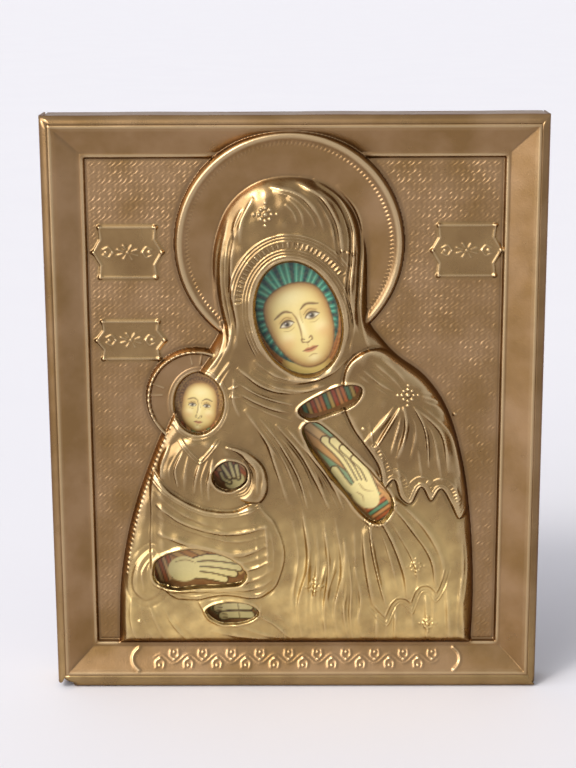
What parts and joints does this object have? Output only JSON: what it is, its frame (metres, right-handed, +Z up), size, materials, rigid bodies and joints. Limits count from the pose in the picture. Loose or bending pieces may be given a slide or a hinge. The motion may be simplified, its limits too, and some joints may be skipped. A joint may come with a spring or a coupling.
{
  "type": "icon",
  "caption": "Small devotional icon: mother and child in relief on a thin stamped brass cover over a printed picture and wooden board, with a hanging ring on the back.",
  "frame": {"origin": "Middle of the flat bottom side of the brass cover, on which the icon stands.", "axes": "+X to the viewer's right, +Y out of the back, so the picture faces -Y, +Z up. At rest the icon stands upright and the ring hangs down at the back."},
  "size_m": [0.09, 0.0136, 0.1073],
  "materials": {
    "brass_cover": "stamped, aged, satin with worn bright highs",
    "print": "matt colour print on card",
    "board": "bare sawn softwood",
    "back_panel": "dark red velvet-faced card",
    "fixings": "plain steel tacks",
    "hanger": "brass-plated strap and wire"
  },
  "bodies": {
    "icon_body": {"riza": "brass_cover", "printed_picture": "print", "board": "board", "back_cover": "back_panel", "hanger_strap": "hanger", "hanger_nail_upper": "fixings", "hanger_nail_lower": "fixings", "tack_left_upper": "fixings", "tack_left_middle": "fixings", "tack_left_lower": "fixings", "tack_right_upper": "fixings", "tack_right_middle": "fixings", "tack_right_lower": "fixings", "tack_top_left": "fixings", "tack_top_right": "fixings", "tack_bottom_left": "fixings", "tack_bottom_right": "fixings"},
    "ring": {"hanger_ring": "hanger"}
  },
  "joints": [
    {"name": "ring_swing", "type": "hinge", "parent": "icon_body", "child": "ring", "pos_m": [0, 0.0052, 0.0873], "axis": [1, 0, 0], "range_deg": [0, 178]}
  ]
}
